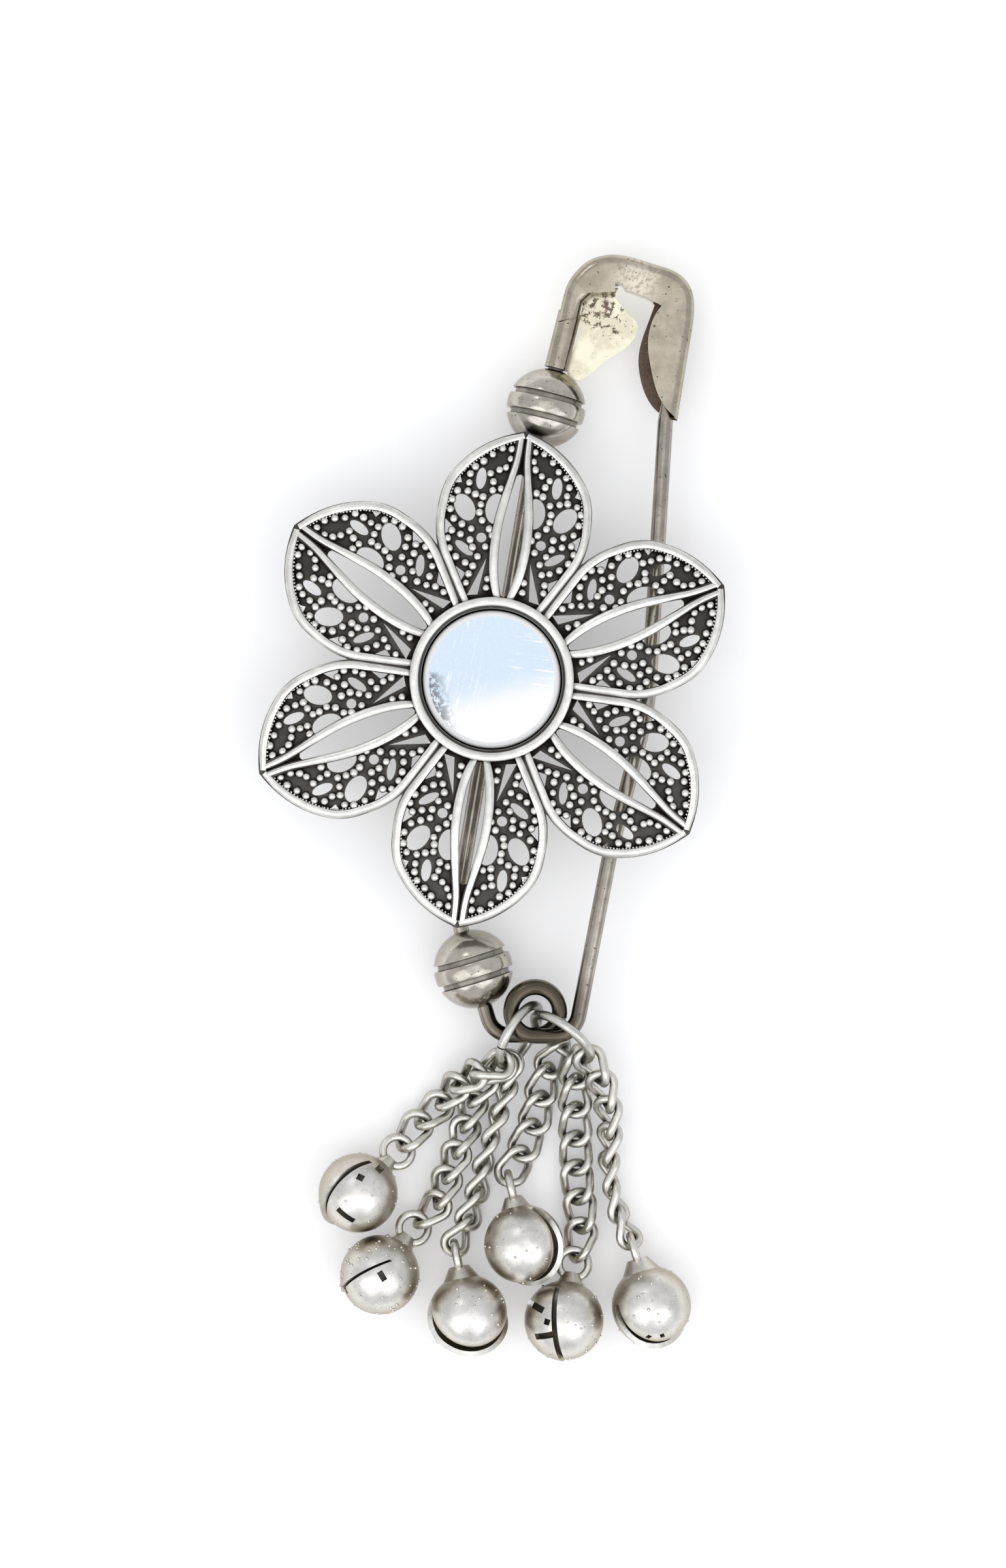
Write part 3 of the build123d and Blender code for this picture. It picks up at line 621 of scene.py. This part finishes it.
WANDER = 0.05


def add_grains(work, petal, side):
    """The grains on one half of a petal."""
    for aside, along in GRAINS:
        wander = Vector((random.gauss(0, WANDER), random.gauss(0, WANDER), 0)) * MM
        spot = press(Vector((along, side * aside, GRAIN_LIFT)) * MM + wander, petal)
        add_ball(work, spot, GRAIN_R * random.uniform(0.92, 1.06), GRAIN_FLATNESS)


# %% Milled inner edge of the rim
MILL_R = 0.13 * MM
MILL_FROM = 5  # the first row of RIM that has teeth
MILL_INSET, MILL_PITCH, MILL_LIFT = 0.42, 0.33, 0.30  # in mm


def add_milling(work, petal, side):
    """A row of very small balls just inside the rim, from its widest place to the tip."""
    rows = [Vector(row[:2]) for row in RIM[MILL_FROM:]]
    for start, end in zip(rows, rows[1:]):
        inward = Vector((start.y - end.y, end.x - start.x)).normalized() * -MILL_INSET
        teeth = int((end - start).length / MILL_PITCH)
        for tooth in range(teeth):
            place = start.lerp(end, tooth / teeth) + inward
            spot = press(Vector((place.x, side * place.y, MILL_LIFT)) * MM, petal)
            add_ball(work, spot, MILL_R)


grain_work = bmesh.new()
for petal in range(PETALS):
    for side in (1, -1):
        add_grains(grain_work, petal, side)
        add_milling(grain_work, petal, side)
finish_piece("petal_grains", grain_work, petal_silver, sharp=80.0)

# %% [markdown]
# ## Cup and mirror
# The cup's lip is a bright round ring over a dark inner wall. The ring is one circle spun about the cup's
# axis. The mirror is a thin disc with a wide ground edge that catches the light as a white line.

# %% Lip of the cup
LIP_WIRE_R = 0.44 * MM
LIP_AT = 7.76 * MM  # from the cup's axis to the middle of the ring's wire
LIP_FLATNESS = 0.45
lip_work = bmesh.new()
section = bmesh.ops.create_circle(lip_work, segments=24, radius=LIP_WIRE_R)["verts"]
out_there = Matrix.Translation((LIP_AT, 0, lip_z)) @ Matrix.Diagonal((1, 1, LIP_FLATNESS, 1))
bmesh.ops.transform(lip_work, matrix=out_there @ Matrix.Rotation(math.pi / 2, 4, "X"), verts=section)
bmesh.ops.spin(
    lip_work, geom=lip_work.verts[:] + lip_work.edges[:], cent=(0, 0, 0), axis=(0, 0, 1),
    angle=2 * math.pi, steps=120, use_merge=True,
)
bmesh.ops.translate(lip_work, vec=flower_mid, verts=lip_work.verts)
finish_piece("cup_lip", lip_work, petal_silver)

# %% Mirror disc
mirror_work = bmesh.new()
bmesh.ops.create_cone(
    mirror_work, cap_ends=True, segments=128, radius1=mirror_r, radius2=mirror_r,
    depth=mirror_high.z - mirror_low.z, matrix=Matrix.Translation(mirror_mid),
)
rim_edges = [edge for edge in mirror_work.edges if all(vert.co.z > mirror_mid.z for vert in edge.verts)]
# The outer half of the ground edge is rounded off, and its inner half is flat
bmesh.ops.bevel(
    mirror_work, geom=rim_edges, offset=EDGE_W / 2, affect="EDGES", segments=4, profile=0.5, material=-1
)
mirror_piece = finish_piece("mirror_disc", mirror_work, mirror.material, sharp=8.0)
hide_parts("mirror")

# %% [markdown]
# ## Bells
# Each bell is a hollow cast ball, split by a mouth, with a neck and a loop. A ball is sliced by planes at
# the sides of each slot, the strip between them is deleted, and the shell then gets its wall. One half
# flares past the other at the mouth. No two bells lie the same way, so each row of the table says where
# its mouth and slots show from above.

# %% What each bell looks like
# heading and dip turn the neck. mouth is the direction that the mouth's plane faces, width its width and
# past how far it runs beyond the middle towards the neck, in mm. flare and tuck are how far its two lips
# stand out and in, as shares. slots run between two places seen from above, in mm right and up of the
# middle, with half their width. neck is the neck's radius in mm, upright whether the loop stands on edge,
# and specks how many grains of casting sand are tried.
BELLS = {
    "bell_1": dict(
        heading=45.6, dip=17.8, mouth=(0.56, -0.56, 0.60), width=0.42, past=2.6, flare=0.09, tuck=0.03,
        neck=0.95, upright=False, specks=34,
        slots=[
            ((0.20, 1.60), (0.50, 2.15), 0.36),
            ((-1.95, -1.30), (-0.30, -2.55), 0.32),
            ((2.0, 2.4), (2.5, 2.8), 0.36),
        ],
    ),
    "bell_2": dict(
        heading=53.2, dip=18.4, mouth=(0.40, -0.86, 0.32), width=0.24, past=1.0, flare=0.06, tuck=0.01,
        neck=1.10, upright=False, specks=120,
        slots=[((0.05, 0.75), (0.60, -0.15), 0.30), ((-3.62, -0.9), (-3.25, -1.75), 0.24)],
    ),
    "bell_3": dict(
        heading=101.2, dip=11.1, mouth=(0.24, 0.50, 0.83), width=1.00, past=2.2, flare=0.15, tuck=0.10,
        neck=1.45, upright=True, slots=[], specks=30,
    ),
    "bell_4": dict(
        heading=102.8, dip=13.1, mouth=(-0.52, -0.10, 0.85), width=0.90, past=3.3, flare=0.14, tuck=0.09,
        neck=1.25, upright=True, slots=[], specks=34,
    ),
    "bell_5": dict(
        heading=79.5, dip=19.6, mouth=(0.96, 0.06, 0.25), width=0.52, past=2.6, flare=0.03, tuck=0.0,
        neck=1.15, upright=False, specks=60,
        slots=[
            ((-3.60, 1.90), (-2.10, 1.35), 0.34),
            ((-2.00, 0.35), (-1.45, 0.20), 0.30),
            ((-2.9, -1.35), (-0.9, -0.85), 0.32),
        ],
    ),
    "bell_6": dict(
        heading=107.2, dip=10.3, mouth=(0.42, 0.34, 0.81), width=0.80, past=1.0, flare=0.11, tuck=0.08,
        neck=1.50, upright=True, specks=44,
        slots=[((-0.60, -2.75), (-0.20, -2.95), 0.34), ((0.80, -2.75), (1.20, -2.60), 0.32)],
    ),
}


# %% Slice slots out of a ball
BELL_R = 4.0 * MM


def slice_at(ball, spot, normal):
    """Cuts every face of the ball where a plane passes."""
    everything = ball.verts[:] + ball.edges[:] + ball.faces[:]
    bmesh.ops.bisect_plane(ball, geom=everything, plane_co=spot, plane_no=normal)


def take_out(ball, inside):
    """Deletes the faces whose middle is inside."""
    gone = [face for face in ball.faces if inside(face.calc_center_median())]
    bmesh.ops.delete(ball, geom=gone, context="FACES")


def seen_from_above(right, up):
    """The place on the ball that shows this far right and up of its middle, in mm."""
    flat = Vector((right, up, 0)) * MM
    return flat + Vector((0, 0, math.sqrt(max(BELL_R ** 2 - flat.length_squared, 0.0))))


def cut_slot(ball, first, last, half_width):
    """A slot between two places that are seen from above."""
    start, end = seen_from_above(*first), seen_from_above(*last)
    along = (end - start).normalized()
    outward = (start + end).normalized()
    across_slot = along.cross(outward).normalized()
    half = half_width * MM
    for aside in (half, -half):
        slice_at(ball, start + aside * across_slot, across_slot)
    for spot in (start, end):
        slice_at(ball, spot, along)

    def in_slot(middle):
        beside, onward = (middle - start).dot(across_slot), (middle - start).dot(along)
        return abs(beside) < half and 0 < onward < (end - start).length and middle.dot(outward) > 0

    take_out(ball, in_slot)


def cut_mouth(ball, facing, far, half, past):
    """The long slot in the plane that faces this way, from the far end of the ball up to past its middle."""
    slice_at(ball, facing * half, facing)
    slice_at(ball, facing * -half, facing)
    slice_at(ball, far * -past, far)
    take_out(ball, lambda middle: abs(middle.dot(facing)) < half and middle.dot(far) > -past)


# %% The shell's form
FLARE_REACH = 2.2 * MM
FLARE_EASE = 1.8
MOUTH_MARGIN, SLOT_MARGIN = 0.2, 0.15  # in mm


def on_shell(way, row, facing, far):
    """The place on the shell in this direction: the half behind the mouth is flared and the front half
    tucked in, most at the far end."""
    spot = way.normalized() * BELL_R
    side = spot.dot(facing)
    closeness = max(0.0, 1 - abs(side) / FLARE_REACH) ** FLARE_EASE
    opened = min(1.0, max(0.0, (spot.dot(far) + row["past"] * MM) / BELL_R))
    return spot * (1 + closeness * opened * (row["flare"] if side < 0 else -row["tuck"]))


def is_solid(spot, row, facing):
    """Whether the shell has metal here: clear of the mouth and of every slot."""
    if abs(spot.dot(facing)) < (row["width"] / 2 + MOUTH_MARGIN) * MM:
        return False
    for first, last, half in row["slots"]:
        start, end = seen_from_above(*first), seen_from_above(*last)
        if (spot - (start + end) / 2).length < (end - start).length / 2 + (half + SLOT_MARGIN) * MM:
            return False
    return True


# %% Neck and loop
LOOP_OUT = 5.9 * MM
LOOP_R = 1.5 * MM
LOOP_WIRE_R = 0.41 * MM
NECK_OUT = 4.15 * MM
NECK_LENGTH = 1.5 * MM
NECK_FOOT, NECK_TOP = 1.35, 0.72  # as shares of the neck's radius


def neck_turn(row):
    """The neck's own axes in the frame: X across it, Y up, Z along it."""
    heading, dip = math.radians(row["heading"]), math.radians(row["dip"])
    neck = Vector((math.cos(heading) * math.cos(dip), math.sin(heading) * math.cos(dip), -math.sin(dip)))
    across_neck = Vector((-math.sin(heading), math.cos(heading), 0))
    return Matrix((across_neck, neck.cross(across_neck), neck)).transposed()


def make_loop(row):
    """Neck and loop, standing on the ball's top."""
    fittings = bmesh.new()
    turn = Matrix.Rotation(math.pi / 2, 4, "X")
    bmesh.ops.create_circle(
        fittings, segments=12, radius=LOOP_WIRE_R, matrix=Matrix.Translation((LOOP_R, 0, 0)) @ turn
    )
    bmesh.ops.spin(
        fittings, geom=fittings.verts[:] + fittings.edges[:], cent=(0, 0, 0), axis=(0, 0, 1),
        angle=2 * math.pi, steps=40, use_merge=True,
    )
    stand_up = Matrix.Rotation(math.pi / 2, 4, "Y" if row["upright"] else "X")
    raised = Matrix.Translation((0, 0, LOOP_OUT)) @ stand_up
    bmesh.ops.transform(fittings, matrix=raised, verts=fittings.verts)
    wide = row["neck"] * MM
    bmesh.ops.create_cone(
        fittings, cap_ends=True, segments=28, radius1=wide * NECK_FOOT, radius2=wide * NECK_TOP,
        depth=NECK_LENGTH, matrix=Matrix.Translation((0, 0, NECK_OUT)),
    )
    return fittings


# %% Cast the bells
BELL_WALL = 0.5 * MM


def bell_middle(node, turn):
    """The ball rests on the floor, and the box ends at the ball on the side away from the loop."""
    low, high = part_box(node)
    neck = turn.col[2]
    return Vector((
        (high.x - BELL_R) if neck.x < 0 else (low.x + BELL_R),
        (low.y + BELL_R) if neck.y > 0 else (high.y - BELL_R),
        low.z + BELL_R,
    ))


def cast_bell(node, row):
    """One bell round its middle, then moved to its place."""
    turn = neck_turn(row)
    far = -turn.col[2]
    facing = Vector(row["mouth"]).normalized()
    ball = bmesh.new()
    bmesh.ops.create_uvsphere(ball, u_segments=64, v_segments=44, radius=BELL_R)
    cut_mouth(ball, facing, far, row["width"] * MM / 2, row["past"] * MM)
    for slot in row["slots"]:
        cut_slot(ball, *slot)
    for vert in ball.verts:
        vert.co = on_shell(vert.co, row, facing, far)
    bmesh.ops.remove_doubles(ball, verts=ball.verts, dist=0.002 * MM)
    bmesh.ops.recalc_face_normals(ball, faces=ball.faces)
    bmesh.ops.solidify(ball, geom=ball.faces[:], thickness=BELL_WALL)
    fittings = make_loop(row)
    bmesh.ops.transform(fittings, matrix=turn.to_4x4(), verts=fittings.verts)
    loop_mesh = bpy.data.meshes.new("loop")
    fittings.to_mesh(loop_mesh)
    fittings.free()
    ball.from_mesh(loop_mesh)
    for _ in range(row["specks"]):
        way = Vector((random.gauss(0, 1), random.gauss(0, 1), random.gauss(0.6, 0.8)))
        speck_r = random.uniform(0.06, 0.18) * MM
        spot = on_shell(way, row, facing, far)
        if is_solid(spot, row, facing):
            add_ball(ball, spot, speck_r)
    bmesh.ops.translate(ball, vec=bell_middle(node, turn), verts=ball.verts)
    piece = finish_piece(node + "_cast", ball, bell_silver, sharp=42.0)
    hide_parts(node)


for bell_name, bell_row in BELLS.items():
    cast_bell(bell_name, bell_row)

# %% [markdown]
# ## Floor, light and camera
# The pin lies on a white sweep that glows a little, like a light table, so shadows stay faint. One lamp
# would leave polished metal black around a single spark, so the light comes from broad boxes: a dim card
# overhead for the mirror, one box on each side for the bells, and a small one behind for the glints. The
# camera looks straight down.

# %% Floor
FLOOR_HALF = 0.9
FLOOR_DROP = 0.02 * MM  # keeps the floor clear of the faces that rest on it
floor_work = bmesh.new()
bmesh.ops.create_grid(floor_work, x_segments=1, y_segments=1, size=FLOOR_HALF)
floor_mesh = bpy.data.meshes.new("floor")
floor_work.to_mesh(floor_mesh)
floor_work.free()
floor = bpy.data.objects.new("floor", floor_mesh)
floor.location.z = -FLOOR_DROP
bpy.context.scene.collection.objects.link(floor)
sweep = Finish("white_sweep")
sweep.fixed(Base_Color=rgba(0.92, 0.92, 0.93), Emission_Color=WHITE, Emission_Strength=0.26)
sweep.varies(Roughness=0.80 + 0.1 * sweep.noise(40 * MM))
floor_mesh.materials.append(sweep.material)


# %% Lights
def softbox(name, place, size, glow, tint=(1.0, 1.0, 1.0)):
    """A square area light that faces the pin. glow is what the box adds to the sky seen in a reflection."""
    light = bpy.data.lights.new(name, "AREA")
    light.shape = "SQUARE"
    light.size = size
    light.energy = glow * math.pi * size ** 2
    light.color = tint
    lamp = bpy.data.objects.new(name, light)
    lamp.location = place
    lamp.rotation_euler = (-Vector(place)).to_track_quat("-Z", "Y").to_euler()
    bpy.context.scene.collection.objects.link(lamp)


COOL = (0.97, 0.98, 1.0)
softbox("overhead_card", (0.0, -0.04, 0.80), size=0.62, glow=0.36)
softbox("left_box", (-0.30, -0.30, 0.50), size=0.54, glow=0.85)
softbox("right_box", (0.30, -0.30, 0.50), size=0.54, glow=0.85, tint=COOL)
softbox("back_glint", (-0.30, 0.55, 0.60), size=0.20, glow=1.6)
print("softboxes:", len(bpy.data.lights))

# %% Sky of the studio
SKY_STRENGTH = 0.68
world = bpy.data.worlds.new("studio")
bpy.context.scene.world = world
world.use_nodes = True
background = world.node_tree.nodes["Background"]
background.inputs["Color"].default_value = rgba(*COOL)
background.inputs["Strength"].default_value = SKY_STRENGTH
bpy.context.scene.view_settings.view_transform = "Standard"

# %% Camera
PHOTO_W, PHOTO_H = 1540, 2401
PX_PER_MM = 15.2
MODEL_SHIFT = 0.27 * PX_PER_MM  # from the photograph's middle of the pin to the frame's origin
ORIGIN_PX = (757.0 - MODEL_SHIFT, 1240.0 - MODEL_SHIFT)
LENS = 100.0
SENSOR = 36.0
SCALE_Z = 5 * MM  # the height at which the pin shows PX_PER_MM
distance = LENS / SENSOR * PHOTO_H / PX_PER_MM * MM
camera_data = bpy.data.cameras.new("camera")
camera_data.lens = LENS
camera_data.sensor_width = SENSOR
camera_data.clip_start = 0.01
camera = bpy.data.objects.new("camera", camera_data)
camera.location = (
    (PHOTO_W / 2 - ORIGIN_PX[0]) / PX_PER_MM * MM,
    (ORIGIN_PX[1] - PHOTO_H / 2) / PX_PER_MM * MM,
    distance + SCALE_Z,
)
bpy.context.scene.collection.objects.link(camera)
bpy.context.scene.camera = camera
print("camera height, mm:", round(camera.location.z / MM, 1))
